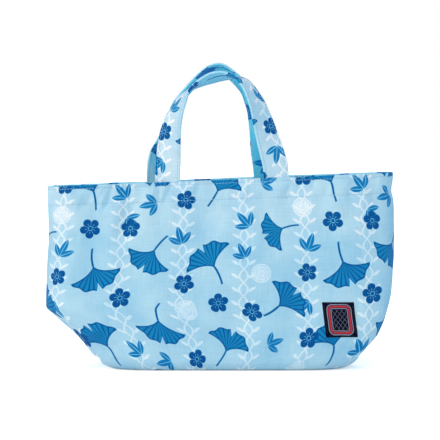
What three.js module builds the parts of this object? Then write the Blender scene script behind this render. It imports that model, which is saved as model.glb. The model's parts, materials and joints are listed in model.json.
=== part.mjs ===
// Mini tote bag of printed cotton. Two body panels meet at the side seams and along the middle of
// the base, the bottom corners are boxed, the hem is turned in, and two strap handles are sewn to
// the inside of the hem. Millimetres, +Z up, front towards -Y, origin on the floor under the base.
import * as THREE from "three";
import { mergeVertices } from "three/addons/utils/BufferGeometryUtils.js";

// Cloth and sewing
const CLOTH = 1.2; // body cloth and its backing
const GAP = 0.3; // clearance between layers that lie against each other
const SEAM_THICKNESS = 1.6; // both allowances of a seam, bound together
const SEAM_DEPTH = 8; // how far a bound seam stands into the bag
const SEAM_SLOT = SEAM_THICKNESS + 2 * GAP; // room between the panels' edges at a seam

// Body, measured on the inner face of the cloth
const BODY_HEIGHT = 172; // rim above the floor, at the middle
const RIM_TILT = 6.5; // the right end of the rim stands this much higher, the left end lower
const BASE_DEPTH = 92; // front to back at the floor
const MOUTH_DEPTH = 46; // front to back at the rim
const BASE_EDGE = 10; // radius of the soft fold round the base
const SQUARENESS = 5; // power of the rounded rectangle at the base
const MOUTH_ALONG = 10; // powers of the rounded section at the rim: along the panel, and across the bag
const MOUTH_ACROSS = 2;
const BOX_FADE = 1.5; // how fast the squarer base gives way to it going up

const WIDEST = 160.5; // half of the bag's full width, at the top of the boxed corners
const RIM = 158; // half of its width at the rim

// Each side runs out from a boxed corner at the base to the full width, and from there to the rim.
// The left corner is creased flat, the right corner is rounded out.
const LEFT = { sign: -1, base: 107, rise: 56, swell: (t) => t ** 1.1 };
const RIGHT = { sign: 1, base: 120, rise: 113, swell: (t) => 1 - (1 - t) ** 3 };

// Hem, turned in along the rim
const HEM_DEPTH = 18;
const HEM_END = 22; // the hem stops this far from the side seams

// Handles
const STRAP_WIDTH = 23;
const STRAP_THICKNESS = 2.8; // cloth folded in four
const STRAP_TAIL = 16; // length of strap sewn inside the hem
const HANDLE_SPACING = 100; // between the middles of a handle's two legs
const HANDLE_TOP_GAP = 1.6; // between the two handles where their tops lean together
const ROLL_SNAP = 0.5; // share of a strap's roll that comes close to the top of its arch

// Each handle's shift along the rim, how much further its crown leans along, its height, how full
// each leg of the arch is, and how far the strap rolls over, in degrees, and at what share of it.
const FRONT_HANDLE = {
  shift: 1, crown: 8.7, rise: 95.3, left: 3.6, right: 1.45, roll: 110, rollAt: 0.46,
};
const BACK_HANDLE = {
  shift: -7, crown: 4.4, rise: 102.6, left: 2, right: 1.78, roll: 75, rollAt: 0.52,
};

// Woven label, sewn on the front near the right corner
const LABEL_WIDTH = 28;
const LABEL_HEIGHT = 32;
const LABEL_THICKNESS = 0.8;
const LABEL_INSET = 51.5; // its middle, in from the bag's right side
const LABEL_X = WIDEST - LABEL_INSET;
const LABEL_Z = 45;
const LABEL_TURN = 4; // degrees

// Facets
const PANEL_COLUMNS = 64;
const BASE_SHARES = [0, 0.5, 0.97, 1]; // rows of the base, from its middle seam to the fold
const EDGE_ROWS = 3;
const WALL_ROWS = 18;
const HEM_COLUMNS = 40;
const PATCH_STEPS = 4;
const SEAM_ROWS = 14;
const STRAP_STEPS = 40;
const SECTION_SAMPLES = 90;

const radians = THREE.MathUtils.degToRad;
const { lerp, clamp } = THREE.MathUtils;

// Body form

// How far the fold round the base draws the wall in at height z.
function foldInset(z) {
  const drop = clamp(CLOTH + BASE_EDGE - z, 0, BASE_EDGE);
  return BASE_EDGE - Math.sqrt(BASE_EDGE ** 2 - drop ** 2);
}

function cornerShare(side, z) {
  return clamp((z - CLOTH) / side.rise, 0, 1);
}

function halfWidth(side, z) {
  const upper = clamp((z - CLOTH - side.rise) / (BODY_HEIGHT - CLOTH - side.rise), 0, 1);
  const wall = lerp(side.base, WIDEST, side.swell(cornerShare(side, z)));
  return lerp(wall, RIM, upper) - foldInset(z);
}

function halfDepth(z) {
  return lerp(BASE_DEPTH, MOUTH_DEPTH, (z - CLOTH) / (BODY_HEIGHT - CLOTH)) / 2 - foldInset(z);
}

// Powers of the section at height z: nearly a rectangle at the base, flat with round ends higher up.
function sectionPowers(side, z) {
  const box = (1 - cornerShare(side, z)) ** BOX_FADE;
  return { along: lerp(MOUTH_ALONG, SQUARENESS, box), across: lerp(MOUTH_ACROSS, SQUARENESS, box) };
}

// The body leans with its rim, and its base stays level.
function tilted(x, y, z) {
  const risen = (z - CLOTH) / (BODY_HEIGHT - CLOTH);
  return new THREE.Vector3(x, y, z + (RIM_TILT * risen * x) / RIM);
}

// Depth of the front's inner face for a share of the half width, 0 in the middle and 1 at the seam.
function faceDepth(share, side, z) {
  const { along, across } = sectionPowers(side, z);
  const bulge = (1 - share ** along) ** (1 / across);
  return lerp(SEAM_SLOT / 2, halfDepth(z), bulge);
}

// A point of the front's inner face, at x and at height z.
function facePoint(x, z) {
  const side = x < 0 ? LEFT : RIGHT;
  const share = Math.min(Math.abs(x) / halfWidth(side, z), 1);
  return tilted(x, -faceDepth(share, side, z), z);
}

// The front half of the body's section at height z, from the left seam to the right one.
function frontSection(z) {
  const points = [];
  for (let i = 0; i <= 2 * SECTION_SAMPLES; i++) {
    const turn = (Math.PI * i) / (2 * SECTION_SAMPLES);
    const side = 2 * i < 2 * SECTION_SAMPLES ? LEFT : RIGHT;
    const { along, across } = sectionPowers(side, z);
    const x = side.sign * halfWidth(side, z) * Math.abs(Math.cos(turn)) ** (2 / along);
    const bulge = Math.abs(Math.sin(turn)) ** (2 / across);
    points.push(tilted(x, -lerp(SEAM_SLOT / 2, halfDepth(z), i % (2 * SECTION_SAMPLES) ? bulge : 0), z));
  }
  return evenly(points, PANEL_COLUMNS);
}

// Points at even distances along a line of points.
function evenly(points, steps) {
  const path = new THREE.CurvePath();
  points.slice(1).forEach((p, i) => path.add(new THREE.LineCurve3(points[i], p)));
  return path.getSpacedPoints(steps);
}

// Solids from rows of points

// A sheet of cloth over a grid of points, from one distance to another along the grid's normals.
// Rows run left to right and follow each other upwards, seen from the side the normals point to.
function sheet(rows, from, to) {
  const columns = rows[0].length;
  const quads = [];
  for (let r = 0; r + 1 < rows.length; r++) {
    for (let c = 0; c + 1 < columns; c++) {
      const a = r * columns + c;
      const b = a + columns;
      quads.push(a, a + 1, b + 1, a, b + 1, b);
    }
  }
  const grid = new THREE.BufferGeometry().setFromPoints(rows.flat()).setIndex(quads);
  const face = mergeVertices(grid, 1e-3);
  face.setIndex(wholeTriangles([...face.index.array]));
  face.computeVertexNormals();
  return thickened(face, from, to);
}

function wholeTriangles(index) {
  const kept = [];
  for (let i = 0; i < index.length; i += 3) {
    const [a, b, c] = index.slice(i, i + 3);
    if (a !== b && b !== c && c !== a) kept.push(a, b, c);
  }
  return kept;
}

// Two copies of an open surface, moved along its normals and joined round its border.
function thickened(face, from, to) {
  const place = face.attributes.position;
  const normal = face.attributes.normal;
  const shifted = (distance) =>
    Array.from({ length: place.count }, (_, i) =>
      new THREE.Vector3()
        .fromBufferAttribute(place, i)
        .addScaledVector(new THREE.Vector3().fromBufferAttribute(normal, i), distance),
    );
  const near = place.count; // the inner copy follows the outer one
  const outer = [...face.index.array];
  const index = [...outer];
  const edges = new Set();
  for (let i = 0; i < outer.length; i += 3) {
    const [a, b, c] = outer.slice(i, i + 3);
    index.push(a + near, c + near, b + near);
    [[a, b], [b, c], [c, a]].forEach(([p, q]) => edges.add(p + ":" + q));
  }
  for (const edge of edges) {
    const [p, q] = edge.split(":").map(Number);
    if (!edges.has(q + ":" + p)) index.push(p, p + near, q + near, p, q + near, q);
  }
  return new THREE.BufferGeometry().setFromPoints([...shifted(to), ...shifted(from)]).setIndex(index);
}

// A bar with four corners at each of a row of stations, closed at both ends.
function bar(stations) {
  const index = [];
  for (let s = 0; s + 1 < stations.length; s++) {
    for (let k = 0; k < 4; k++) {
      const a = 4 * s + k;
      const b = 4 * s + ((k + 1) % 4);
      index.push(a, b, b + 4, a, b + 4, a + 4);
    }
  }
  const end = 4 * (stations.length - 1);
  index.push(2, 1, 0, 3, 2, 0, end, end + 1, end + 2, end, end + 2, end + 3);
  return new THREE.BufferGeometry().setFromPoints(stations.flat()).setIndex(index);
}

function range(from, to, steps) {
  return Array.from({ length: steps + 1 }, (_, i) => lerp(from, to, i / steps));
}

// Body panels, each with half of both sides and half of the base

function panel() {
  const foot = frontSection(CLOTH);
  const left = foot[0];
  const right = foot[PANEL_COLUMNS];
  const seam = foot.map((_, i) => left.clone().lerp(right, i / PANEL_COLUMNS));
  const rows = BASE_SHARES.map((t) => foot.map((p, i) => seam[i].clone().lerp(p, t)));
  const fold = range(0, Math.PI / 2, EDGE_ROWS).slice(1);
  fold.forEach((turn) => rows.push(frontSection(CLOTH + BASE_EDGE * (1 - Math.cos(turn)))));
  const wall = range(CLOTH + BASE_EDGE, BODY_HEIGHT, WALL_ROWS).slice(1);
  wall.forEach((z) => rows.push(frontSection(z)));
  return sheet(rows, 0, CLOTH);
}

// A patch of a layer that lies inside the panel, between two distances inwards of its inner face.
function innerPatch(xs, zs, nearest, furthest) {
  const rows = zs.map((z) => xs.map((x) => facePoint(x, z)));
  return sheet(rows, -furthest, -nearest);
}

function hem() {
  const low = BODY_HEIGHT - HEM_DEPTH;
  const left = -halfWidth(LEFT, low) + HEM_END;
  const right = halfWidth(RIGHT, low) - HEM_END;
  const xs = range(left, right, HEM_COLUMNS);
  return innerPatch(xs, range(low, BODY_HEIGHT, 2), GAP, GAP + CLOTH);
}

// Bound seams inside the bag

function sideSeam(side) {
  const low = CLOTH + 2 * GAP + SEAM_THICKNESS;
  const rows = range(low, BODY_HEIGHT, SEAM_ROWS).map((z) => {
    const edge = halfWidth(side, z);
    const across = [edge, edge - SEAM_DEPTH].map((x) => tilted(side.sign * x, 0, z));
    return side.sign < 0 ? across : across.reverse();
  });
  return sheet(rows, -SEAM_THICKNESS / 2, SEAM_THICKNESS / 2);
}

// Where the boxed corner's seam starts, clear of the fold round the base over its whole length.
const CORNER_REACH = halfDepth(CLOTH) - BASE_EDGE;

function cornerEdge(side) {
  const { along, across } = sectionPowers(side, CLOTH);
  const bulge = CORNER_REACH / halfDepth(CLOTH);
  return halfWidth(side, CLOTH) * (1 - bulge ** across) ** (1 / along);
}

// The boxed corner's seam, pressed flat on the base.
function cornerSeam(side) {
  const edge = cornerEdge(side);
  const xs = side.sign < 0 ? [-edge, SEAM_DEPTH - edge] : [edge - SEAM_DEPTH, edge];
  const ys = [-CORNER_REACH, CORNER_REACH];
  const rows = ys.map((y) => xs.map((x) => new THREE.Vector3(x, y, CLOTH + GAP)));
  return sheet(rows, 0, SEAM_THICKNESS);
}

function bottomSeam() {
  const end = SEAM_DEPTH + GAP;
  const xs = [end - cornerEdge(LEFT), cornerEdge(RIGHT) - end];
  const zs = [CLOTH / 2, CLOTH + SEAM_DEPTH];
  const rows = zs.map((z) => xs.map((x) => new THREE.Vector3(x, 0, z)));
  return sheet(rows, -SEAM_THICKNESS / 2, SEAM_THICKNESS / 2);
}

// Strap handles

const TAIL_NEAR = 2 * GAP + CLOTH; // a strap's tail lies on the hem
const TAIL_FAR = TAIL_NEAR + STRAP_THICKNESS;

function legMiddle(handle, side) {
  return handle.shift + (side.sign * HANDLE_SPACING) / 2;
}

function strapTail(handle, side) {
  const middle = legMiddle(handle, side);
  const xs = range(middle - STRAP_WIDTH / 2, middle + STRAP_WIDTH / 2, PATCH_STEPS);
  return innerPatch(xs, range(BODY_HEIGHT - STRAP_TAIL, BODY_HEIGHT, 2), TAIL_NEAR, TAIL_FAR);
}

// Middle line of the strap above the rim: an arch whose top leans in towards the other handle.
function archPoints(handle) {
  const turned = radians(handle.roll);
  const reach = (STRAP_WIDTH * Math.sin(turned) + STRAP_THICKNESS * Math.abs(Math.cos(turned))) / 2;
  const top = -(HANDLE_TOP_GAP / 2 + reach);
  const points = [];
  for (let i = 0; i <= 2 * SECTION_SAMPLES; i++) {
    const turn = (Math.PI * i) / (2 * SECTION_SAMPLES);
    const side = i < SECTION_SAMPLES ? LEFT : RIGHT;
    const power = 2 / (side === LEFT ? handle.left : handle.right);
    const spread = side.sign * (HANDLE_SPACING / 2) * Math.abs(Math.cos(turn)) ** power;
    const foot = facePoint(legMiddle(handle, side), BODY_HEIGHT);
    const lift = Math.abs(Math.sin(turn)) ** power;
    const x = handle.shift + spread + handle.crown * lift;
    const y = lerp(foot.y + (TAIL_NEAR + TAIL_FAR) / 2, top, lift ** 2);
    points.push(new THREE.Vector3(x, y, tilted(x, y, BODY_HEIGHT).z + GAP + handle.rise * lift));
  }
  return evenly(points, STRAP_STEPS);
}

// How far the strap has rolled over at a share of its length.
function strapRoll(handle, share) {
  const rising = share / handle.rollAt;
  const falling = (1 - share) / (1 - handle.rollAt);
  const arc = Math.sin((Math.PI / 2) * Math.min(rising, falling));
  return radians(handle.roll) * lerp(arc, arc ** 6, ROLL_SNAP);
}

// The strap lies flat against the hem at its feet and rolls over towards the top of the arch.
function strapLoop(handle) {
  const line = archPoints(handle);
  const depth = new THREE.Vector3(0, 1, 0);
  const rimNormal = new THREE.Vector3(-RIM_TILT, 0, RIM).normalize();
  const stations = line.map((point, i) => {
    const before = line[Math.max(i - 1, 0)];
    const after = line[Math.min(i + 1, STRAP_STEPS)];
    const along = after.clone().sub(before).normalize();
    if (i === 0) along.copy(rimNormal);
    if (i === STRAP_STEPS) along.copy(rimNormal).negate();
    const outward = along.clone().cross(depth).normalize();
    const inward = outward.clone().cross(along);
    const roll = strapRoll(handle, i / STRAP_STEPS);
    const across = outward.clone().multiplyScalar(Math.cos(roll)).addScaledVector(inward, Math.sin(roll));
    const through = along.clone().cross(across);
    const corner = (w, t) =>
      point
        .clone()
        .addScaledVector(across, (w * STRAP_WIDTH) / 2)
        .addScaledVector(through, (t * STRAP_THICKNESS) / 2);
    return [corner(-1, -1), corner(1, -1), corner(1, 1), corner(-1, 1)];
  });
  return bar(stations);
}

// Woven label

function label() {
  const turn = radians(LABEL_TURN);
  const steps = range(-0.5, 0.5, PATCH_STEPS);
  const rows = steps.map((v) =>
    steps.map((u) => {
      const along = u * LABEL_WIDTH;
      const up = v * LABEL_HEIGHT;
      const x = LABEL_X + along * Math.cos(turn) - up * Math.sin(turn);
      const z = LABEL_Z + along * Math.sin(turn) + up * Math.cos(turn);
      return facePoint(x, z);
    }),
  );
  return sheet(rows, CLOTH + GAP, CLOTH + GAP + LABEL_THICKNESS);
}

// Assembly

const cloth = (color) => new THREE.MeshStandardMaterial({ color, roughness: 0.9, metalness: 0 });
const printedCotton = cloth("#a9d4ea");
const bindingTape = cloth("#dfeaf1");
const labelWeave = cloth("#151a26");

const tote = new THREE.Group();

function place(name, geometry, material, mirrored = false) {
  const mesh = new THREE.Mesh(geometry, material);
  mesh.name = name;
  if (mirrored) mesh.scale.y = -1;
  tote.add(mesh);
}

for (const mirrored of [false, true]) {
  const face = mirrored ? "back" : "front";
  const handle = mirrored ? BACK_HANDLE : FRONT_HANDLE;
  place(face + "_panel", panel(), printedCotton, mirrored);
  place(face + "_hem", hem(), printedCotton, mirrored);
  place(face + "_handle", strapLoop(handle), printedCotton, mirrored);
  place(face + "_handle_tail_left", strapTail(handle, LEFT), printedCotton, mirrored);
  place(face + "_handle_tail_right", strapTail(handle, RIGHT), printedCotton, mirrored);
}
place("left_side_seam", sideSeam(LEFT), bindingTape);
place("right_side_seam", sideSeam(RIGHT), bindingTape);
place("bottom_seam", bottomSeam(), bindingTape);
place("left_corner_seam", cornerSeam(LEFT), bindingTape);
place("right_corner_seam", cornerSeam(RIGHT), bindingTape);
place("woven_label", label(), labelWeave);

export default tote;
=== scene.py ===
# A mini tote bag of printed cotton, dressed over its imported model: the cloth body with its turned hem,
# the strap handles, the stitching, the bound seams and the woven label.
# Sizes are millimetres; a mesh becomes metres when it is made. The front faces -Y.
import json
import math

import bpy
import numpy as np
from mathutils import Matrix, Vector
from mathutils.bvhtree import BVHTree


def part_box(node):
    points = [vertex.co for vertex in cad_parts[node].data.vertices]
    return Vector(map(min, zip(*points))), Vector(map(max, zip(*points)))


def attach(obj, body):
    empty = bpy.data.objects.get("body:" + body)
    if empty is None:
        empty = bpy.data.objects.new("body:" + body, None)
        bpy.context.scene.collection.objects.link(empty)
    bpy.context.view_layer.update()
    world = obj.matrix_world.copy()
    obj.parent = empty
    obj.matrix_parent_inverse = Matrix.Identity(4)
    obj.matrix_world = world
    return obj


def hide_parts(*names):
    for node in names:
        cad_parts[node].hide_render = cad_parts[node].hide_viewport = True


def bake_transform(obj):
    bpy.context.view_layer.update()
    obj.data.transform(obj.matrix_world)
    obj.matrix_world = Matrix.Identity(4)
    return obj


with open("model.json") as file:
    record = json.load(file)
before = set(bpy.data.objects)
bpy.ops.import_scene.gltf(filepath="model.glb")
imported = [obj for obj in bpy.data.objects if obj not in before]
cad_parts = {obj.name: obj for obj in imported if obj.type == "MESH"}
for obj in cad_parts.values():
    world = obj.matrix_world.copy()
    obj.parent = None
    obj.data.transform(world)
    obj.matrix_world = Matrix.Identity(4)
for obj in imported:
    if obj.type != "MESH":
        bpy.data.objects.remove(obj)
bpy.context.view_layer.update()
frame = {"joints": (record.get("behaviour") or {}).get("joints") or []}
METRES = 0.001


# Camera. A long lens straight in front of the bag and a little above its rim, so far away that the sides
# hardly draw together. The frame is as wide as the photograph's.
PHOTO_PIXELS = 440
MM_PER_PIXEL = 0.925  # in the plane of the side seams
CAMERA_DISTANCE = 1700
CAMERA_RISE = math.radians(3)
AIM = Vector((-0.5, 0, 135))

lens = bpy.data.cameras.new("camera")
lens.lens = lens.sensor_width * CAMERA_DISTANCE / (PHOTO_PIXELS * MM_PER_PIXEL)
camera = bpy.data.objects.new("camera", lens)
backwards = Vector((0, -math.cos(CAMERA_RISE), math.sin(CAMERA_RISE)))
camera.location = (AIM + CAMERA_DISTANCE * backwards) * METRES
camera.rotation_euler = backwards.to_track_quat("Z", "Y").to_euler()
bpy.context.collection.objects.link(camera)
bpy.context.scene.camera = camera


# Printed cotton. Plain-woven cotton cloth, screen-printed with blue and white on a pale blue ground.
# The eye sees a matt, faintly slubbed weave; the print has crisp edges and shows paler on the back.
GROUND = "#acd6eb"
LEAF_BLUE = "#045497"
FAN_BLUE = "#1686be"
SOFT_BLUE = "#127aba"
INK_WHITE = "#e6f3fb"
# The back of the cloth: the paler undyed yarn, painted paler still as painted light for the light that comes
# through the cloth into the bag.
CLOTH_BACK_AND_PAINTED_LIGHT = "#dfecf4"
REPEAT = (216.0, 144.0)  # the print repeats after this width and height
THREAD_PITCH = 1.1  # twice the real spacing, so that the weave shows
WEAVE_RELIEF = 0.4
SLUB = (0.9, 0.06)  # thick places of the yarn: how many in a millimetre across it and along it
SLUB_SHADE = (0.94, 1.06)
PAINTED_LIGHT_TINT = (1.29, 1.09, 1.03, 1.0)  # painted light: a paler tint painted where cloth lies double, as less of the dark inside shows through it, and over the top of each panel
PAINTED_SHADE_TINT = (0.30, 1.05, 1.22, 1.0)  # painted shade: a side that only faces other blue cloth is painted a deeper cyan
DYE_CLOUD = 40.0  # the dyed ground is a little uneven, in soft clouds of this size
THIN_DYE = (1.14, 1.06, 1.02, 1.0)
DEEP_DYE = (0.86, 0.94, 0.98, 1.0)
PALEST = (0.92, 0.92, 0.96)  # no cotton gives back more light than this

MATH = "ShaderNodeMath"
VECTOR = "ShaderNodeVectorMath"
MIX = "ShaderNodeMix"
SPLIT = "ShaderNodeSeparateXYZ"


def srgb(code):
    """A colour written as sRGB hex, as linear RGBA."""
    parts = [int(code[i:i + 2], 16) / 255 for i in (1, 3, 5)]
    return tuple(p / 12.92 if p <= 0.04045 else ((p + 0.055) / 1.055) ** 2.4 for p in parts) + (1.0,)


def feed(tree, node, inputs):
    """Links or fills a node's inputs."""
    for key, value in inputs.items() if isinstance(inputs, dict) else enumerate(inputs):
        if isinstance(value, bpy.types.NodeSocket):
            tree.links.new(value, node.inputs[key])
        else:
            node.inputs[key].default_value = value


def add(tree, kind, inputs=(), operation=None, **settings):
    """Adds a node with its operation, settings and inputs, and returns its first output."""
    made = tree.nodes.new(kind)
    if operation:
        made.operation = operation
    for name, value in settings.items():
        setattr(made, name, value)
    feed(tree, made, inputs)
    return next((o for o in made.outputs if o.enabled), made)


def design(name, *outputs, kind="NodeSocketFloat"):
    """A group that turns a place on the cloth into one or more values."""
    tree = bpy.data.node_groups.new(name, "ShaderNodeTree")
    tree.interface.new_socket("Place", in_out="INPUT", socket_type="NodeSocketVector")
    for output in outputs:
        tree.interface.new_socket(output, in_out="OUTPUT", socket_type=kind)
    return tree, add(tree, "NodeGroupInput")


def polar(tree, place):
    """Across, up, distance and angle from straight up, of a place in a motif."""
    parts = add(tree, SPLIT, [place]).node
    distance = add(tree, VECTOR, [place], "LENGTH")
    angle = add(tree, MATH, [parts.outputs[0], parts.outputs[1]], "ARCTAN2")
    return parts.outputs[0], parts.outputs[1], distance, angle


def wave(tree, value, count):
    """A cosine wave that comes back this many times in a full turn of the value."""
    return add(tree, MATH, [add(tree, MATH, [value, count], "MULTIPLY")], "COSINE")


def band(tree, value, middle, edge, top):
    """Soft-edged ink about one value: its top less the edge factor times the way off, kept from 0 to 1."""
    off = add(tree, MATH, [value, middle], "SUBTRACT")
    off = add(tree, MATH, [off], "ABSOLUTE")
    return add(tree, MATH, [off, -edge, top], "MULTIPLY_ADD", use_clamp=True)


# Each motif is drawn in a frame of its own in which it is about 1 long. An edge factor says how many times
# narrower than that the soft edge of its ink is.
FAN_EDGE = 30.0
FAN_SCALLOPS = 12.0
FAN_RIBS = 30.0
BLOSSOM_EDGE = 14.0
PETALS = 5
STAMENS = 10.0
SPRIG_EDGE = 30.0
SPRIG_BLADES = ((0.0, 1.0, 0.17), (0.85, 0.8, 0.15))  # turn, length, half width
SEED_RAYS = 22.0
SEED_RINGS = 21.0

# Fan leaf: an open fan with a scalloped edge and a notch, fine ribs, and a stem.
leaf, place = design("fan_leaf", "Ink", "Lines")
across, up, distance, angle = polar(leaf, place)
spread = add(leaf, MATH, [angle], "ABSOLUTE")
opening = add(leaf, MATH, [distance, 0.38], "POWER")
opening = add(leaf, MATH, [opening, 1.12], "MULTIPLY")
side = add(leaf, MATH, [opening, spread], "SUBTRACT")
side = add(leaf, MATH, [side, distance], "MULTIPLY")
reach = add(leaf, MATH, [wave(leaf, angle, FAN_SCALLOPS), 0.035, 0.98], "MULTIPLY_ADD")
notch = add(leaf, MATH, [spread, -9.0, 1.0], "MULTIPLY_ADD", use_clamp=True)
reach = add(leaf, MATH, [notch, -0.34, reach], "MULTIPLY_ADD")
rim = add(leaf, MATH, [reach, distance], "SUBTRACT")
inside = add(leaf, MATH, [side, rim], "MINIMUM")
fan = add(leaf, MATH, [inside, FAN_EDGE, 0.5], "MULTIPLY_ADD", use_clamp=True)
ribs = add(leaf, MATH, [wave(leaf, angle, FAN_RIBS), 3.0, -1.4], "MULTIPLY_ADD", use_clamp=True)
outline = add(leaf, MATH, [inside, -26.0, 1.6], "MULTIPLY_ADD", use_clamp=True)
ribs = add(leaf, MATH, [ribs, outline], "MAXIMUM")
ribs = add(leaf, MATH, [ribs, fan], "MULTIPLY")
bow = add(leaf, MATH, [up, up], "MULTIPLY")
bow = add(leaf, MATH, [bow, 0.28, across], "MULTIPLY_ADD")
bow = band(leaf, bow, 0.0, FAN_EDGE, 1.4)
ends = band(leaf, up, -0.32, FAN_EDGE, 11.0)
stem = add(leaf, MATH, [bow, ends], "MINIMUM")
add(leaf, "NodeGroupOutput", [fan, add(leaf, MATH, [ribs, stem], "MAXIMUM")])

# Blossom: five notched petals round an open ring with short stamens.
blossom, place = design("blossom", "Ink")
distance, angle = polar(blossom, place)[2:]
petals = add(blossom, MATH, [wave(blossom, angle, PETALS / 2)], "ABSOLUTE")
petals = add(blossom, MATH, [petals, 0.5], "POWER")
reach = add(blossom, MATH, [petals, 0.46, 0.5], "MULTIPLY_ADD")
flower = add(blossom, MATH, [reach, distance], "SUBTRACT")
flower = add(blossom, MATH, [flower, BLOSSOM_EDGE, 0.5], "MULTIPLY_ADD", use_clamp=True)
ring = band(blossom, distance, 0.2, BLOSSOM_EDGE, 1.0)
stamens = wave(blossom, angle, STAMENS)
stamens = add(blossom, MATH, [stamens, 4.0, -3.0], "MULTIPLY_ADD", use_clamp=True)
reach = band(blossom, distance, 0.4, BLOSSOM_EDGE, 2.2)
stamens = add(blossom, MATH, [stamens, reach], "MULTIPLY")
open_lines = add(blossom, MATH, [ring, stamens], "MAXIMUM")
flower = add(blossom, MATH, [open_lines, -0.92, flower], "MULTIPLY_ADD", use_clamp=True)
add(blossom, "NodeGroupOutput", [flower])

# Sprig: one long leaf between two side leaves, on a short stalk.
sprig, place = design("sprig", "Ink")
parts = add(sprig, SPLIT, [place]).node
folded = add(sprig, MATH, [parts.outputs[0]], "ABSOLUTE")
mirrored = add(sprig, "ShaderNodeCombineXYZ", [folded, parts.outputs[1]])
blades = []
for turn, length, width in SPRIG_BLADES:
    turned = add(sprig, "ShaderNodeVectorRotate", {"Vector": mirrored, "Angle": turn}, rotation_type="Z_AXIS")
    blade = add(sprig, SPLIT, [turned]).node
    along = add(sprig, MATH, [blade.outputs[1], 2 / length, -1.0], "MULTIPLY_ADD")
    swell = add(sprig, MATH, [along, along], "MULTIPLY")
    swell = add(sprig, MATH, [swell, -width, width], "MULTIPLY_ADD")
    thin = add(sprig, MATH, [blade.outputs[0]], "ABSOLUTE")
    vein = add(sprig, MATH, [thin, -2 * SPRIG_EDGE, 1.6], "MULTIPLY_ADD", use_clamp=True)
    body = add(sprig, MATH, [swell, thin], "SUBTRACT")
    body = add(sprig, MATH, [body, SPRIG_EDGE, 0.5], "MULTIPLY_ADD", use_clamp=True)
    blades.append(add(sprig, MATH, [vein, -0.8, body], "MULTIPLY_ADD", use_clamp=True))
add(sprig, "NodeGroupOutput", [add(sprig, MATH, blades, "MAXIMUM")])

# Seed head: a soft white disc of fine rays.
seed_head, place = design("seed_head", "Ink")
distance, angle = polar(seed_head, place)[2:]
rays = add(seed_head, MATH, [wave(seed_head, angle, SEED_RAYS), 0.2, 0.48], "MULTIPLY_ADD")
tips = wave(seed_head, distance, SEED_RINGS)
rays = add(seed_head, MATH, [tips, 0.18, rays], "MULTIPLY_ADD", use_clamp=True)
disc = add(seed_head, MATH, [distance, -12.0, 12.0], "MULTIPLY_ADD", use_clamp=True)
add(seed_head, "NodeGroupOutput", [add(seed_head, MATH, [rays, disc], "MULTIPLY")])

# The repeat: where each motif lies in it, its turn in degrees and its size.
FAN_LEAVES = (
    (54, 26, 20, 24), (3, 62, -50, 23), (112, 52, 168, 23), (166, 22, -25, 22),
    (58, 102, -160, 24), (164, 98, 35, 24), (8, 132, 110, 20), (111, 116, 150, 23),
)
BLOSSOMS = (
    (84, 72, 10, 9.5), (138, 84, 40, 9), (28, 34, 70, 9.5), (196, 58, 25, 9), (88, 136, 0, 9),
    (28, 92, 15, 8.5), (138, 16, 55, 9), (52, 137, 30, 9.5), (168, 66, 5, 9),
)
SPRIGS = (
    (112, 14, 100, 17), (194, 134, 40, 17), (84, 2, -130, 16), (134, 120, 15, 17), (206, 28, -70, 16),
    (30, 66, 130, 15), (84, 20, 40, 17), (28, 111, -20, 17), (190, 106, 25, 15),
)
SEED_HEADS = ((26, 6, 0, 9), (140, 60, 0, 9.5), (204, 92, 0, 9))

cotton_print, place = design("cotton_print", "Colour", kind="NodeSocketColor")
tree = cotton_print
layers = {}
for group, spots in ((leaf, FAN_LEAVES), (blossom, BLOSSOMS), (sprig, SPRIGS), (seed_head, SEED_HEADS)):
    for x, y, turn, size in spots:
        high = (x + REPEAT[0] / 2, y + REPEAT[1] / 2, 1)
        low = (x - REPEAT[0] / 2, y - REPEAT[1] / 2, -1)
        near = add(tree, VECTOR, [place, high, low], "WRAP")
        own = add(tree, "ShaderNodeMapping", {
            "Vector": near, "Location": (x, y, 0), "Rotation": (0, 0, math.radians(turn)),
            "Scale": (size, size, 1),
        }, vector_type="TEXTURE")
        ink = add(tree, "ShaderNodeGroup", node_tree=group)
        tree.links.new(own, ink.node.inputs[0])
        for output in ink.node.outputs:
            key = group.name + " " + output.name
            so_far = layers.get(key)
            layers[key] = add(tree, MATH, [so_far, output], "MAXIMUM") if so_far else output

# White vines climb between the leaves: two stems twined together, with a pair of leaves wherever they part.
VINE_PITCH = 54.0
VINE_SWING = 3.6
VINE_WAVE = 24.0
VINE_LEAF = (3.6, 1.7)  # half its length and half its width
VINE_LEAF_SLANT = 0.55
VINE_COVER = 0.72  # the white ink is thin there
parts = add(tree, SPLIT, [place]).node
beside = add(tree, MATH, [parts.outputs[0], VINE_PITCH, 0.0], "WRAP")
beside = add(tree, MATH, [beside, VINE_PITCH / 2], "SUBTRACT")
beside = add(tree, MATH, [beside], "ABSOLUTE")
swing = add(tree, MATH, [parts.outputs[1], 2 * math.pi / VINE_WAVE], "MULTIPLY")
swing = add(tree, MATH, [swing], "SINE")
swing = add(tree, MATH, [swing], "ABSOLUTE")
stem = add(tree, MATH, [swing, -VINE_SWING, beside], "MULTIPLY_ADD")
stem = band(tree, stem, 0.0, 1.2, 1.5)
beyond = add(tree, MATH, [beside, VINE_SWING + VINE_LEAF[0]], "SUBTRACT")
rung = add(tree, MATH, [parts.outputs[1], VINE_WAVE / 2, 0.0], "WRAP")
rung = add(tree, MATH, [rung, VINE_WAVE / 4], "SUBTRACT")
rung = add(tree, MATH, [beyond, -VINE_LEAF_SLANT, rung], "MULTIPLY_ADD")
oval = add(tree, "ShaderNodeCombineXYZ", [
    add(tree, MATH, [beyond, VINE_LEAF[0]], "DIVIDE"),
    add(tree, MATH, [rung, VINE_LEAF[1]], "DIVIDE"),
])
oval = add(tree, VECTOR, [oval], "LENGTH")
leaflets = add(tree, MATH, [oval, -4.0, 4.2], "MULTIPLY_ADD", use_clamp=True)
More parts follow.
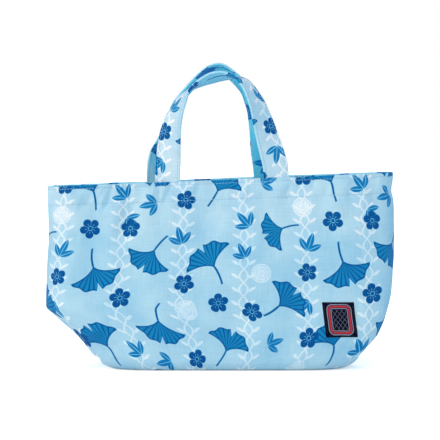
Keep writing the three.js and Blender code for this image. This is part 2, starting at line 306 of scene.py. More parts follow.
vine = add(tree, MATH, [stem, leaflets], "MAXIMUM")
vine = add(tree, MATH, [vine, VINE_COVER], "MULTIPLY")
white = add(tree, MATH, [vine, layers["seed_head Ink"]], "MAXIMUM")
colour = add(tree, MIX, {0: white, 6: srgb(GROUND), 7: srgb(INK_WHITE)}, data_type="RGBA")
blue = add(tree, MATH, [layers["fan_leaf Lines"], layers["blossom Ink"]], "MAXIMUM")
# The blues are dyes: where one thins out it stays a clear blue, because each thread takes up less of it.
for ink, code in ((layers["sprig Ink"], SOFT_BLUE), (layers["fan_leaf Ink"], FAN_BLUE), (blue, LEAF_BLUE)):
    bare = add(tree, MATH, [1.0, ink], "SUBTRACT")
    bare = add(tree, VECTOR, [colour, bare], "POWER")
    dyed = add(tree, VECTOR, [srgb(code)[:3], ink], "POWER")
    colour = add(tree, VECTOR, [bare, dyed], "MULTIPLY")
add(tree, "NodeGroupOutput", [colour])


def new_material(name):
    """A material with its node tree and the shader in it."""
    material = bpy.data.materials.new(name)
    material.use_nodes = True
    return material, material.node_tree, material.node_tree.nodes["Principled BSDF"]


def weave(tree, cloth, pitch):
    """Threads that go over and under each other by turns: from -1 to 1."""
    threads = add(tree, VECTOR, {0: cloth, 3: 2 * math.pi / pitch}, "SCALE")
    threads = add(tree, SPLIT, [add(tree, VECTOR, [threads], "SINE")]).node
    return add(tree, MATH, [threads.outputs[0], threads.outputs[1]], "MULTIPLY")


def cotton(name, show_through):
    """The cloth's face or, with part of the print showing through, its back."""
    material, tree, shader = new_material(name)
    cloth = add(tree, "ShaderNodeUVMap", uv_map="cloth_mm")
    inked = add(tree, "ShaderNodeGroup", node_tree=cotton_print)
    tree.links.new(cloth, inked.node.inputs[0])
    colour = inked.node.outputs[0]
    colour = add(tree, MIX, {0: show_through, 6: srgb(CLOTH_BACK_AND_PAINTED_LIGHT), 7: colour}, data_type="RGBA")
    slubs = []
    for stretch in (SLUB, SLUB[::-1]):
        yarn = add(tree, VECTOR, [cloth, stretch + (1,)], "MULTIPLY")
        slubs.append(add(tree, "ShaderNodeTexNoise", {"Vector": yarn, "Scale": 1.0, "Detail": 2.0}))
    slub = add(tree, MATH, slubs, "ADD")
    shade = {"Value": slub, 1: 0.7, 2: 1.3, 3: SLUB_SHADE[0], 4: SLUB_SHADE[1]}
    shade = add(tree, "ShaderNodeMapRange", shade)
    colour = add(tree, VECTOR, {0: colour, 3: shade}, "SCALE")
    # Painted light and painted shade: the marks on each piece paint a paler tint and a deeper cyan tint into
    # the colour.
    painted_light = add(tree, "ShaderNodeAttribute", attribute_name="painted_light").node.outputs["Fac"]
    inside = add(tree, "ShaderNodeAttribute", attribute_name="inside").node.outputs["Fac"]
    clouds = add(tree, "ShaderNodeTexNoise", {"Vector": cloth, "Scale": 1 / DYE_CLOUD, "Detail": 3.0})
    clouds = add(tree, "ShaderNodeMapRange", {"Value": clouds, 1: 0.35, 2: 0.65})
    tints = (
        add(tree, MIX, {0: clouds, 6: THIN_DYE, 7: DEEP_DYE}, data_type="RGBA"),
        add(tree, MIX, {0: painted_light, 6: (1, 1, 1, 1), 7: PAINTED_LIGHT_TINT}, data_type="RGBA"),
        add(tree, MIX, {0: inside, 6: (1, 1, 1, 1), 7: PAINTED_SHADE_TINT}, data_type="RGBA"),
    )
    for tint in tints:
        colour = add(tree, VECTOR, [colour, tint], "MULTIPLY")
    colour = add(tree, VECTOR, [colour, PALEST], "MINIMUM")
    threads = add(tree, MATH, [weave(tree, cloth, THREAD_PITCH), 0.35, slub], "MULTIPLY_ADD")
    relief = {"Height": threads, "Strength": 0.25, "Distance": WEAVE_RELIEF * METRES}
    relief = add(tree, "ShaderNodeBump", relief)
    feed(tree, shader, {
        "Base Color": colour, "Normal": relief, "Roughness": 0.88, "Specular IOR Level": 0.06,
        "Sheen Weight": 0.08, "Sheen Roughness": 0.5,
    })
    return material


printed_cotton = cotton("printed_plain_weave_cotton", 1.0)
# The back's pale colour is partly painted light.
printed_cotton_back = cotton("printed_plain_weave_cotton_back", 0.5)


# Front and back panels. Each is cut in one piece with half of both sides and half of the base, boxed at
# the bottom corners and turned in along the rim. The left corner is creased flat, the right one rounded.
CLOTH = 0.7
CAD_CLOTH = 1.2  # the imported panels' thickness: the outer faces agree
BODY_HEIGHT = 172.0
RIM_TILT = 6.5
BASE_DEPTH = 92.0
MOUTH_DEPTH = 46.0
BASE_EDGE = 10.0
SQUARENESS = 5.0
MOUTH_POWERS = (10.0, 2.0)  # the section at the rim: flat, with round ends
BOX_FADE = 1.5
WIDEST = 160.5
RIM = 158.0
LEFT = {"sign": -1, "base": 107.0, "rise": 56.0, "swell": lambda t: t ** 1.1}
RIGHT = {"sign": 1, "base": 120.0, "rise": 113.0, "swell": lambda t: 1 - (1 - t) ** 3}
# The soft side edges are drawn in a little here and there: height, reach, and how far in.
LEFT["drawn"] = ((33, 15, 1.9), (126, 20, 1.4), (172, 6, -0.6))
RIGHT["drawn"] = ((8, 9, 1.7), (82, 18, 1.5), (120, 24, 0.8), (157, 7, 2.0))
SEAM_GAP = 0.3  # half of the slot between the panels at a seam
HEM_DEPTH = 18.0
SECTION_STEPS = 400
COLUMNS = 280
BASE_ROWS = 14
EDGE_ROWS = 9
WALL_ROWS = 100
FOLD_ROWS = 6
HEM_ROWS = 10


def lerp(a, b, t):
    return a + (b - a) * t


def smooth(t):
    t = np.clip(t, 0, 1)
    return t * t * (3 - 2 * t)


def fold_inset(z):
    drop = np.clip(CAD_CLOTH + BASE_EDGE - z, 0, BASE_EDGE)
    return BASE_EDGE - np.sqrt(BASE_EDGE ** 2 - drop ** 2)


def half_width(side, z):
    share = np.clip((z - CAD_CLOTH) / side["rise"], 0, 1)
    upper = np.clip((z - CAD_CLOTH - side["rise"]) / (BODY_HEIGHT - CAD_CLOTH - side["rise"]), 0, 1)
    drawn = sum(inwards * np.exp(-(((z - height) / reach) ** 2)) for height, reach, inwards in side["drawn"])
    return lerp(lerp(side["base"], WIDEST, side["swell"](share)), RIM, upper) - fold_inset(z) - drawn


def half_depth(z):
    return lerp(BASE_DEPTH, MOUTH_DEPTH, (z - CAD_CLOTH) / (BODY_HEIGHT - CAD_CLOTH)) / 2 - fold_inset(z)


def rim_lift(x, z):
    return RIM_TILT * x / RIM * (z - CAD_CLOTH) / (BODY_HEIGHT - CAD_CLOTH)


def lengths_along(line):
    """How far each point of a line is from its start."""
    return np.concatenate([[0], np.cumsum(np.linalg.norm(np.diff(line, axis=0), axis=1))])


def points_at(places, run, line):
    return np.stack([np.interp(places, run, line[:, k]) for k in range(3)], 1)


def section(z, shares):
    """The inner face of the front at height z, from the left seam to the right one."""
    halves = []
    for side, start in ((LEFT, 0), (RIGHT, math.pi / 2)):
        turn = np.linspace(start, start + math.pi / 2, SECTION_STEPS)
        box = (1 - np.clip((z - CAD_CLOTH) / side["rise"], 0, 1)) ** BOX_FADE
        along, across = lerp(MOUTH_POWERS[0], SQUARENESS, box), lerp(MOUTH_POWERS[1], SQUARENESS, box)
        x = side["sign"] * half_width(side, z) * np.abs(np.cos(turn)) ** (2 / along)
        bulge = np.abs(np.sin(turn)) ** (2 / across)
        bulge[[0, -1]] = np.round(bulge[[0, -1]])
        halves.append(np.stack([x, -lerp(SEAM_GAP, half_depth(z), bulge), np.full_like(x, z)], 1))
    line = np.concatenate([halves[0], halves[1][1:]])
    run = lengths_along(line)
    even = points_at(shares * run[-1], run, line)
    even[:, 2] += rim_lift(even[:, 0], z)
    return even, run[-1]


def soft_noise(u, v, size, seed):
    """Smooth random heights from -1 to 1 with lumps of about this size."""
    count = 64
    table = np.random.default_rng(seed).uniform(-1, 1, (count, count))
    u, v = u / size, v / size
    column, row = np.floor(u).astype(int), np.floor(v).astype(int)
    fu, fv = smooth(u - column), smooth(v - row)
    left, right, low, high = (k % count for k in (column, column + 1, row, row + 1))
    below, above = (lerp(table[left, line], table[right, line], fu) for line in (low, high))
    return lerp(below, above, fv)


def grid_normals(grid):
    n = np.cross(np.gradient(grid, axis=1), np.gradient(grid, axis=0))
    return n / np.maximum(np.linalg.norm(n, axis=2, keepdims=True), 1e-9)


def grid_faces(rows, columns):
    a = (np.arange(rows - 1)[:, None] * columns + np.arange(columns - 1)[None, :]).ravel()
    return np.stack([a, a + 1, a + columns + 1, a + columns], 1)


def make_piece(name, vertices, faces, uvs, *materials):
    """An object from vertices in millimetres, with the cloth's own coordinates as its UV map."""
    mesh = bpy.data.meshes.new(name)
    mesh.from_pydata((np.asarray(vertices) * METRES).tolist(), [], [list(map(int, f)) for f in faces])
    if uvs is not None:
        layer = mesh.uv_layers.new(name="cloth_mm")
        corners = np.empty(len(mesh.loops), int)
        mesh.loops.foreach_get("vertex_index", corners)
        layer.data.foreach_set("uv", np.asarray(uvs, float)[corners].ravel())
    mesh.polygons.foreach_set("use_smooth", [True] * len(mesh.polygons))
    for material in materials:
        mesh.materials.append(material)
    piece = bpy.data.objects.new(name, mesh)
    bpy.context.collection.objects.link(piece)
    return piece


def mark(piece, what, shares):
    """Says how much painted light (a paler tint) or painted shade (a deeper cyan tint) the cloth gets at each
    point.
    """
    piece.data.attributes.new(what, "FLOAT", "POINT").data.foreach_set("value", np.asarray(shares, float))


# Soft folds of the cloth, each from one point of the panel to another, with its width and its height.
FRONT_FOLDS = (
    ((-137, 182), (-141, 40), 14, 2.2), ((-112, 172), (-114, 60), 10, -2.2),
    ((-94, 154), (-104, 104), 8, 2.4), ((-80, 164), (-90, 112), 8, -2.0),
    ((-64, 168), (-70, 128), 8, 1.7), ((-148, 64), (-96, 40), 9, 2.2), ((-122, 30), (-104, 16), 5, -1.8),
    ((-40, 166), (-28, 116), 9, 1.7), ((-6, 150), (-18, 84), 12, -1.6), ((24, 166), (33, 104), 8, 2.2),
    ((62, 168), (68, 118), 9, -1.8), ((104, 168), (114, 108), 10, 2.2), ((140, 160), (146, 96), 7, -2.0),
    ((128, 66), (136, 26), 7, 2.2), ((142, 76), (96, 22), 9, -1.9), ((129, 12), (139, 27), 1.7, -2.6),
    ((-70, 90), (-40, 30), 16, 1.6), ((40, 84), (12, 26), 16, -1.6), ((112, 44), (136, 16), 5, 1.8),
    ((96, 28), (124, 12), 4, -1.5), ((-104, 44), (-122, 26), 5, 1.7), ((-92, 26), (-108, 12), 4, -1.4),
)
BACK_FOLDS = (
    ((-140, 160), (-128, 90), 9, 1.4), ((-110, 168), (-104, 110), 9, -1.3), ((-60, 168), (-52, 118), 10, 1.0),
    ((-150, 58), (-100, 30), 8, 1.4), ((30, 168), (24, 120), 10, -0.9), ((84, 168), (92, 110), 9, 1.2),
    ((132, 164), (138, 104), 8, -1.3), ((138, 70), (110, 22), 8, 1.3),
)


def fold_height(x, z, folds):
    """How far the folds push the cloth out at a place of the panel."""
    total = np.zeros_like(x)
    for (x0, z0), (x1, z1), width, height in folds:
        length = math.hypot(x1 - x0, z1 - z0)
        dx, dz = (x1 - x0) / length, (z1 - z0) / length
        along = ((x - x0) * dx + (z - z0) * dz) / length
        aside = (x - x0) * dz - (z - z0) * dx
        fade = smooth((along + 0.12) / 0.3) * smooth((1.15 - along) / 0.6)
        total += height * fade * np.exp(-((aside / width) ** 2))
    return total


STITCH_ROWS = (2.3, 17.0)  # below the rim
STITCH_GROOVE = (0.9, 1.1)  # how deep the thread draws the cloth in, and how wide
# The boxed corners' seams draw a groove across the sides: where, how deep and how wide.
CORNER_SEAMS = ((-112.5, 8.5, 3.2, 2.6), (129.5, 11.0, 4.4, 2.2))
# Slack cloth besides the folds, each as its height and its size: swells, lumps and creases all over, puckers
# in the hem and pleats below it. These two are full at the left end and fade to a share of that.
SWELLS, LUMPS, CREASES = (1.3, 62), (1.0, 24), (0.45, 9.0)
PUCKERS, PLEATS = (2.7, 4.4), (1.8, 9.0)
GATHERED = (0.35, 1.0)
GATHER_ENDS, GATHER_OVER = -20, 110
PLEATS_END, PLEATS_OVER = 66, 46  # below the rim
SEAM_HOLDS = 14  # the seams hold the cloth flat this far, and the floor this high up
FLOOR_HOLDS = 16
FLOOR_GAP = 0.2


def cloth_panel(folds, seed):
    """Rows of points over the panel's inner face, their normals, how far the slack lifts them, and how far
    along and up the cloth they lie."""
    shares = np.linspace(0, 1, COLUMNS + 1)
    foot = section(CAD_CLOTH, shares)[0]
    seam = lerp(foot[0], foot[-1], shares[:, None])
    rows, ups = [], []
    for t in np.linspace(0, 1, BASE_ROWS, endpoint=False):
        rows.append(lerp(seam, foot, t))
        ups.append((t - 1) * half_depth(CAD_CLOTH))
    turns = np.linspace(0, math.pi / 2, EDGE_ROWS, endpoint=False)
    heights = list(CAD_CLOTH + BASE_EDGE * (1 - np.cos(turns)))
    heights += list(np.linspace(CAD_CLOTH + BASE_EDGE, BODY_HEIGHT, WALL_ROWS))
    for z in heights:
        row, girth = section(z, shares)
        rows.append(row)
        turn = math.acos(np.clip((CAD_CLOTH + BASE_EDGE - z) / BASE_EDGE, 0, 1))
        ups.append(BASE_EDGE * turn + max(z - CAD_CLOTH - BASE_EDGE, 0))
    grid = np.array(rows)
    normals = grid_normals(grid)
    x, z = grid[..., 0], grid[..., 2]
    below = np.array(ups)[-1] - np.array(ups)[:, None] + 0 * x  # distance below the rim
    run = shares[None, :] * girth + 0 * x
    at_seam = smooth(np.minimum(run, girth - run) / SEAM_HOLDS)
    off_floor = smooth(z / FLOOR_HOLDS)
    height = fold_height(x, z, folds)
    height += SWELLS[0] * soft_noise(run, below, SWELLS[1], seed)
    height += LUMPS[0] * soft_noise(run, below, LUMPS[1], seed + 1)
    height += CREASES[0] * soft_noise(run + below * 0.4, below * 0.7, CREASES[1], seed + 4)
    gather = lerp(*GATHERED, smooth((GATHER_ENDS - x) / GATHER_OVER))
    in_hem = smooth((STITCH_ROWS[1] + 9 - below) / 10) * smooth((below + 3) / 9)
    puckers = soft_noise(run + below * 0.25, below * 0.3, PUCKERS[1], seed + 2)
    height += PUCKERS[0] * gather * in_hem * puckers
    under_hem = smooth((PLEATS_END - below) / PLEATS_OVER)
    height += PLEATS[0] * gather * under_hem * soft_noise(run - below * 0.25, below * 0.2, PLEATS[1], seed + 3)
    for row in STITCH_ROWS:
        height -= STITCH_GROOVE[0] * np.exp(-(((below - row) / STITCH_GROOVE[1]) ** 2))
    height *= at_seam * off_floor
    height -= FLOOR_GAP * (1 - off_floor)  # the base keeps just clear of the floor
    for seam_x, seam_z, drawn, reach in CORNER_SEAMS:
        height -= drawn * np.exp(-((x - seam_x) ** 2 + (z - seam_z) ** 2) / reach ** 2)
    return grid, normals, height, run, np.array(ups)


TURNED = {"front": (1, 1, 1), "back": (1, -1, 1)}  # both are made as a front, and the back is turned over
HEM_FOLD = 0.65  # radius of the hem's fold
BACK_CUT = (180, 60)  # the back is cut from another place of the print
RIM_PAINTED_LIGHT, HEM_PAINTED_LIGHT = 0.36, 0.1  # painted light: how much paler the top of the panel and its hem are painted
PAINTED_LIGHT_FROM, PAINTED_LIGHT_OVER = 60, 30  # below the rim
# How much painted shade, a deeper cyan, the inner face of the hem gets.
HEM_SHADED = 0.5


def row_below(grid, ups, below):
    """The row of a panel's points at this distance below the rim, and the number of the row under it."""
    at = np.interp(ups[-1] - below, ups, np.arange(len(ups)))
    k = int(at)
    return lerp(grid[k], grid[min(k + 1, len(ups) - 1)], at - k), k


def panel_piece(name, folds, seed):
    """The panel with its hem folded to the inside, as one sheet of cloth; gives back what is sewn to."""
    grid, normals, height, run, ups = cloth_panel(folds, seed)
    middle = CAD_CLOTH - CLOTH / 2  # the sheet's middle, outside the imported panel's inner face
    outer = grid + normals * (middle + height)[..., None]
    top, top_normal = outer[-1], normals[-1]
    rows, lengths = list(outer), list(ups)
    for turn in np.linspace(0, math.pi, FOLD_ROWS)[1:]:
        step = HEM_FOLD * (np.cos(turn) - 1) * top_normal
        rows.append(top + step + HEM_FOLD * math.sin(turn) * np.array([0, 0, 1.0]))
        lengths.append(ups[-1] + HEM_FOLD * turn)
    inner = grid + normals * (middle - 2 * HEM_FOLD + height)[..., None]
    for depth in np.linspace(0, HEM_DEPTH, HEM_ROWS)[1:]:
        rows.append(row_below(inner, ups, depth)[0])
        lengths.append(ups[-1] + HEM_FOLD * math.pi + depth)
    sheet = np.array(rows) * TURNED[name]
    uv = np.stack(np.broadcast_arrays(run[0], np.array(lengths)[:, None]), 2)
    faces = grid_faces(*sheet.shape[:2])
    if name == "back":
        faces = faces[:, ::-1]
        uv = uv * (-1, 1) + BACK_CUT
    points, places = sheet.reshape(-1, 3), uv.reshape(-1, 2)
    piece = make_piece(name + "_panel_cloth", points, faces, places, printed_cotton, printed_cotton_back)
    past_rim = np.array(lengths) - ups[-1]
    # Painted light: a paler tint that rises from 60 mm to 30 mm below the rim, and a little more on the hem;
    # painted shade on the hem's inner face.
    painted_light = RIM_PAINTED_LIGHT * smooth((past_rim + PAINTED_LIGHT_FROM) / PAINTED_LIGHT_OVER)
    painted_light += HEM_PAINTED_LIGHT * smooth((past_rim + STITCH_ROWS[1] + 1) / 1.5)
    mark(piece, "painted_light", np.repeat(painted_light, sheet.shape[1]))
    mark(piece, "inside", np.repeat(HEM_SHADED * smooth(past_rim / HEM_FOLD - 1), sheet.shape[1]))
    thick = piece.modifiers.new("thickness", "SOLIDIFY")
    thick.thickness = CLOTH * METRES
    thick.offset = 0
    thick.material_offset = 1
    thick.use_even_offset = False
    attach(piece, "bag")
    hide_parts(name + "_panel", name + "_hem")
    return outer, normals, ups


panels = {"front": panel_piece("front", FRONT_FOLDS, 11), "back": panel_piece("back", BACK_FOLDS, 31)}


# Handles. A strip of the same cotton folded in four and edge-stitched, sewn to the inside of the hem at
# both ends. It lies flat against the hem and rolls over towards the top of its arch.
STRAP_WIDTH = 23.0
STRAP_THICKNESS = 2.5
STRAP_TAIL = 16.0
TAIL_DEPTH = 2.4  # the strap's middle, inside the panel's inner face
STRAP_STITCH = 2.2  # stitch line, in from the strap's edge
HANDLE_TOP_GAP = 1.6
LOOP_STATIONS = 120
TAIL_STATIONS = 8
# Points of each arch: across, above the rim, and how many degrees the strap has rolled inwards there.
FRONT_ARCH = (
    (-48.5, 0, 0), (-48, 15, 8), (-46.8, 36, 25), (-45.2, 49, 38), (-42.6, 59, 49), (-39.2, 67.6, 60),
    (-34.8, 76, 70), (-31, 81.5, 83), (-25, 86.3, 95), (-16, 91.2, 106), (-7, 94.3, 112), (1.5, 95.4, 108),
    (9.6, 94.6, 98), (14.5, 93.2, 88), (18.5, 91.2, 77), (22, 88.6, 70), (26.2, 82.7, 64), (30.2, 75.3, 57),
    (33.8, 67.5, 50), (36.9, 58.3, 42), (39.9, 47.7, 32), (43.1, 36.3, 24), (46.5, 24.8, 14),
    (49.5, 13.3, 6), (51.2, 0, 0),
)
BACK_ARCH = (
    (-57.6, 0, 0), (-57.4, 13, 15), (-56.1, 25, 30), (-54.7, 31, 42), (-52.7, 37, 55), (-49.2, 50, 66),
    (-45.2, 62, 72), (-40.3, 72.5, 75), (-33.8, 80.8, 76), (-28, 87, 76), (-22.7, 92.2, 75), (-17, 97.2, 74),
    (-11, 101.4, 73), (-3.3, 103.8, 72), (1.3, 103.2, 72), (5.5, 100.6, 72), (11, 96, 71), (18.4, 89, 68),
    (25.6, 80, 62), (29, 72.7, 56), (32.8, 64, 48), (35, 54.8, 40), (37, 45.4, 30), (38.3, 35.7, 22),
    (39.4, 26, 14), (40.9, 16.8, 8), (42.6, 0, 0),
)


def face_depth(x, z):
    """How far the panel's inner face lies from the middle of the bag."""
    side = LEFT if x < 0 else RIGHT
    bulge = (1 - min(abs(x) / half_width(side, z), 1) ** MOUTH_POWERS[0]) ** (1 / MOUTH_POWERS[1])
    return lerp(SEAM_GAP, half_depth(z), bulge)


def unit(vectors):
    return vectors / np.linalg.norm(vectors, axis=-1, keepdims=True)


def even_curve(points, count):
    """A smooth curve through the points, at even steps; only the first two columns measure its length."""
    points = np.array(points, float)
    knots = lengths_along(points[:, :2])
    slopes = np.gradient(points, knots, axis=0)
    at = np.linspace(0, knots[-1], count)
    k = np.clip(np.searchsorted(knots, at, side="right") - 1, 0, len(knots) - 2)
    span = (knots[k + 1] - knots[k])[:, None]
    t = (at - knots[k])[:, None] / span
    return (lerp(points[k], points[k + 1], smooth(t))
            + span * (t * (1 - t) ** 2 * slopes[k] - t * t * (1 - t) * slopes[k + 1]))


def strap_line(arch):
    """Middle line of a strap in the front's frame, with its directions across and through."""
    x, rise, roll = even_curve(arch, LOOP_STATIONS + 1).T
    roll = np.radians(roll)
    feet = (arch[0][0], arch[-1][0])
    depths = [face_depth(foot, BODY_HEIGHT) - TAIL_DEPTH for foot in feet]
    foot_depth = np.where(np.arange(len(x)) < np.argmax(rise), *depths)
    reach = (STRAP_WIDTH * np.sin(roll).max() + STRAP_THICKNESS) / 2
    lift = rise / rise.max()
    y = -lerp(foot_depth, HANDLE_TOP_GAP / 2 + reach, lift ** 2)
    loop = np.stack([x, y, BODY_HEIGHT + rim_lift(x, BODY_HEIGHT) + rise], 1)
    tails = []
    for foot in feet:
        heights = BODY_HEIGHT - np.linspace(STRAP_TAIL, 0, TAIL_STATIONS, endpoint=False)
        tail = [(foot, TAIL_DEPTH - face_depth(foot, z), z + rim_lift(foot, z)) for z in heights]
        tails.append(np.array(tail))
    line = np.concatenate([tails[0], loop, tails[1][::-1]])
    roll = np.concatenate([np.zeros(TAIL_STATIONS), roll, np.zeros(TAIL_STATIONS)])
    along = unit(np.gradient(line, axis=0))
    outward = unit(np.cross(along, (0, 1, 0)))
    inward = np.cross(outward, along)
    across = outward * np.cos(roll)[:, None] + inward * np.sin(roll)[:, None]
    return line, across, np.cross(along, across)


EDGE_STEPS = 5
FLAT_STEPS = 17
STITCH_DENT = (0.4, 0.7)  # how deep a row of stitches pulls a folded strip in, and how wide


def ribbon(line, across, through, width, thickness, stitch_in):
    """A flat folded strip, round at its edges and dented along its stitches: vertices, faces, cloth places."""
    half = width / 2
    edge = thickness / 2
    steps = np.concatenate([
        half - edge + edge * np.sin(np.linspace(math.pi / 2, 0, EDGE_STEPS)),
        np.linspace(half - edge, edge - half, FLAT_STEPS)[1:-1],
        edge - half - edge * np.sin(np.linspace(0, math.pi / 2, EDGE_STEPS)),
    ])
    round_off = np.clip((np.abs(steps) - (half - edge)) / edge, 0, 1)
    rise = edge * np.sqrt(1 - round_off ** 2)
    from_stitch = (np.abs(steps) - (half - stitch_in)) / STITCH_DENT[1]
    rise -= STITCH_DENT[0] * np.exp(-(from_stitch ** 2)) * (round_off < 1)
    ring = np.concatenate([np.stack([steps, rise], 1), np.stack([steps[::-1], -rise[::-1]], 1)[1:-1]])
    vertices = line[:, None] + across[:, None] * ring[None, :, :1] + through[:, None] * ring[None, :, 1:]
    count, around = vertices.shape[:2]
    index = np.arange(count * around).reshape(count, around)
    nxt = np.roll(index, -1, axis=1)
    faces = np.stack([index[:-1], index[1:], nxt[1:], nxt[:-1]], 2).reshape(-1, 4)
    uv = np.stack(np.broadcast_arrays(lengths_along(ring), lengths_along(line)[:, None]), 2)
    caps = [list(index[0]), list(index[-1][::-1])]
    return vertices.reshape(-1, 3), [list(f) for f in faces] + caps, uv.reshape(-1, 2)


SHADE_FROM, SHADE_OVER = 0.03, 0.2  # the shares of a strap from which and over which its painted shade changes

# Each strap's arch, where it is cut from the print, and how much painted shade the side that faces
# the other strap gets, at the left foot and further on.
straps = {}
for name, arch, cut, shaded in (
    ("front", FRONT_ARCH, (22, 30), (0.6, 0.6)), ("back", BACK_ARCH, (70, 52), (0.3, 1.0)),
):
    line, across, through = (part * TURNED[name] for part in strap_line(arch))
    vertices, faces, uv = ribbon(line, across, through, STRAP_WIDTH, STRAP_THICKNESS, STRAP_STITCH)
    if name == "back":
        faces = [face[::-1] for face in faces]
    strap = make_piece(name + "_handle_strap", vertices, faces, uv + cut, printed_cotton)
    # Painted light: the whole strap is painted paler.
    mark(strap, "painted_light", np.ones(len(vertices)))
    depth = ((vertices.reshape(len(line), -1, 3) - line[:, None]) * through[:, None]).sum(2)
    # Painted shade: the side that faces the other strap is painted a deeper cyan.
    shade = lerp(*shaded, smooth((np.linspace(0, 1, len(line)) - SHADE_FROM) / SHADE_OVER))
    mark(strap, "inside", (shade[:, None] * np.clip(0.5 - depth / STRAP_THICKNESS, 0, 1)).ravel())
    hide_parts(name + "_handle", name + "_handle_tail_left", name + "_handle_tail_right")
    straps[name] = (strap, line, across, through)


# Stitching. Light blue cotton thread in a plain lockstitch: two rows round the rim, inside and outside, and
# a row along both edges of each strap. Each stitch is a short bead pressed into the cloth.
STITCH_PITCH = 2.9
STITCH_LENGTH = 2.3
THREAD_RADIUS = 0.27
THREAD_SINK = 0.2
THREAD_PULL = 0.25  # the ends of a stitch go in by this share of its radius
THREAD_BLUE = "#8ebfdc"
GRAIN_RELIEF = 0.2
LOOK_AHEAD = 0.4  # a stitch points to where its line is this much further on
BEAD_SIDES = 6
BEAD_RINGS = ((-1, 0.25), (-0.7, 0.9), (0, 1.0), (0.7, 0.9), (1, 0.25))  # along half a stitch, and how thick
SEAM_COLUMNS = 3  # a row round the rim stops this many columns short of the side seams


def fabric_finish(name, colour, roughness, grain_mm, depth):
    """A plain cloth or thread of one colour, with a fine grain that lightens and darkens it."""
    material, tree, shader = new_material(name)
    where = add(tree, "ShaderNodeTexCoord").node.outputs["Object"]
    grain = {"Vector": where, "Scale": 1 / (grain_mm * METRES), "Detail": 3.0}
    grain = add(tree, "ShaderNodeTexNoise", grain)
    shade = add(tree, "ShaderNodeMapRange", {"Value": grain, 1: 0.3, 2: 0.7, 3: 1 - depth, 4: 1 + depth})
    colour = add(tree, VECTOR, {0: srgb(colour)[:3], 3: shade}, "SCALE")
    relief = {"Height": grain, "Strength": 0.3, "Distance": GRAIN_RELIEF * METRES}
    relief = add(tree, "ShaderNodeBump", relief)
    finish = {"Base Color": colour, "Normal": relief, "Roughness": roughness, "Specular IOR Level": 0.3}
    feed(tree, shader, finish)
    return material


# Mercerised thread is a little smoother and brighter than the cloth; its twist shows as a fine grain.
cotton_thread = fabric_finish("mercerised_cotton_thread", THREAD_BLUE, 0.7, 0.5, 0.12)


def stitch_beads(line, up):
    """Beads at even steps along a line that lies on the cloth: vertices and faces."""
    run = lengths_along(line)
    places = np.arange(STITCH_PITCH, run[-1] - STITCH_PITCH / 2, STITCH_PITCH)
    at = points_at(places, run, line)
    along = unit(points_at(places + LOOK_AHEAD, run, line) - at)
    lift = unit(points_at(places, run, up))
    beside = np.cross(lift, along)
    shape = []
    for share, swell in BEAD_RINGS:
        radius, sink = THREAD_RADIUS * swell, -THREAD_PULL * THREAD_RADIUS * share ** 2
        for turn in np.arange(BEAD_SIDES) * 2 * math.pi / BEAD_SIDES:
            shape.append((share * STITCH_LENGTH / 2, radius * math.cos(turn), radius * math.sin(turn) + sink))
    shape = np.array(shape)
    vertices = (at[:, None] + along[:, None] * shape[None, :, :1] + beside[:, None] * shape[None, :, 1:2]
                + lift[:, None] * shape[None, :, 2:])
    bead = []
    for a in range(len(shape) - BEAD_SIDES):
        b = a + 1 if (a + 1) % BEAD_SIDES else a + 1 - BEAD_SIDES
        bead.append((a, b, b + BEAD_SIDES, a + BEAD_SIDES))
    bead.append(tuple(range(BEAD_SIDES))[::-1])
    bead.append(tuple(range(len(shape) - BEAD_SIDES, len(shape))))
    faces = [tuple(i + len(shape) * s for i in face) for s in range(len(at)) for face in bead]
    return vertices.reshape(-1, 3), faces


def stitching(name, rows, thread_finish):
    """One piece with all the beads of several rows."""
    vertices, faces = [], []
    for line, up in rows:
        made, joined = stitch_beads(line, up)
        start = sum(len(v) for v in vertices)
        vertices.append(made)
        faces += [tuple(i + start for i in face) for face in joined]
    return make_piece(name, np.concatenate(vertices), faces, None, thread_finish)


def panel_row(outer, normals, ups, below, lift):
    """A line on the cloth at this distance below the rim, and the way out of the cloth there."""
    line, k = row_below(outer, ups, below)
    sewn = slice(SEAM_COLUMNS, -SEAM_COLUMNS)
    return (line + normals[k] * lift)[sewn], normals[k][sewn]


for name, panel in panels.items():
    rows = []
    for below in STITCH_ROWS:
        for lift, face in ((CLOTH / 2, 1), (-2 * HEM_FOLD - CLOTH / 2, -1)):
            line, up = panel_row(*panel, below, lift)
            rows.append((line * TURNED[name], up * face * TURNED[name]))
    thread = stitching(name + "_rim_stitching", rows, cotton_thread)
    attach(thread, "bag")

for name, (strap, line, across, through) in straps.items():
    rows = []
    for edge in (-1, 1):
        for face in (-1, 1):
            beside = line + across * edge * (STRAP_WIDTH / 2 - STRAP_STITCH)
            rows.append((beside + through * face * (STRAP_THICKNESS / 2 - THREAD_SINK), through * face))
    thread = stitching(name + "_handle_stitching", rows, cotton_thread)
    swing = next(j for j in frame["joints"] if j["child"] == name + "_handle")
    for piece in (strap, thread):
        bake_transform(piece)


# Bound seams. The raw allowances inside the bag are pressed together and wrapped in a woven cotton tape:
# one at each side, one along the middle of the base, and one across each boxed corner.
BINDING_WIDTH = 8.0
BINDING_THICKNESS = 1.6
BINDING_STITCH = 2.0
SIDE_POINTS, BASE_POINTS, CORNER_POINTS = 46, 50, 20
BASE_CLEAR = 0.4
BINDING_WAVES = ((0.3, 0.9), (0.2, 2.3))  # how far the tape sways, and its turn from point to point
TAPE_WHITE = "#dbe8f0"
# Cotton tape is matt and off-white, with the grain of its weave.
cotton_tape = fabric_finish("woven_cotton_binding_tape", TAPE_WHITE, 0.9, 0.7, 0.08)


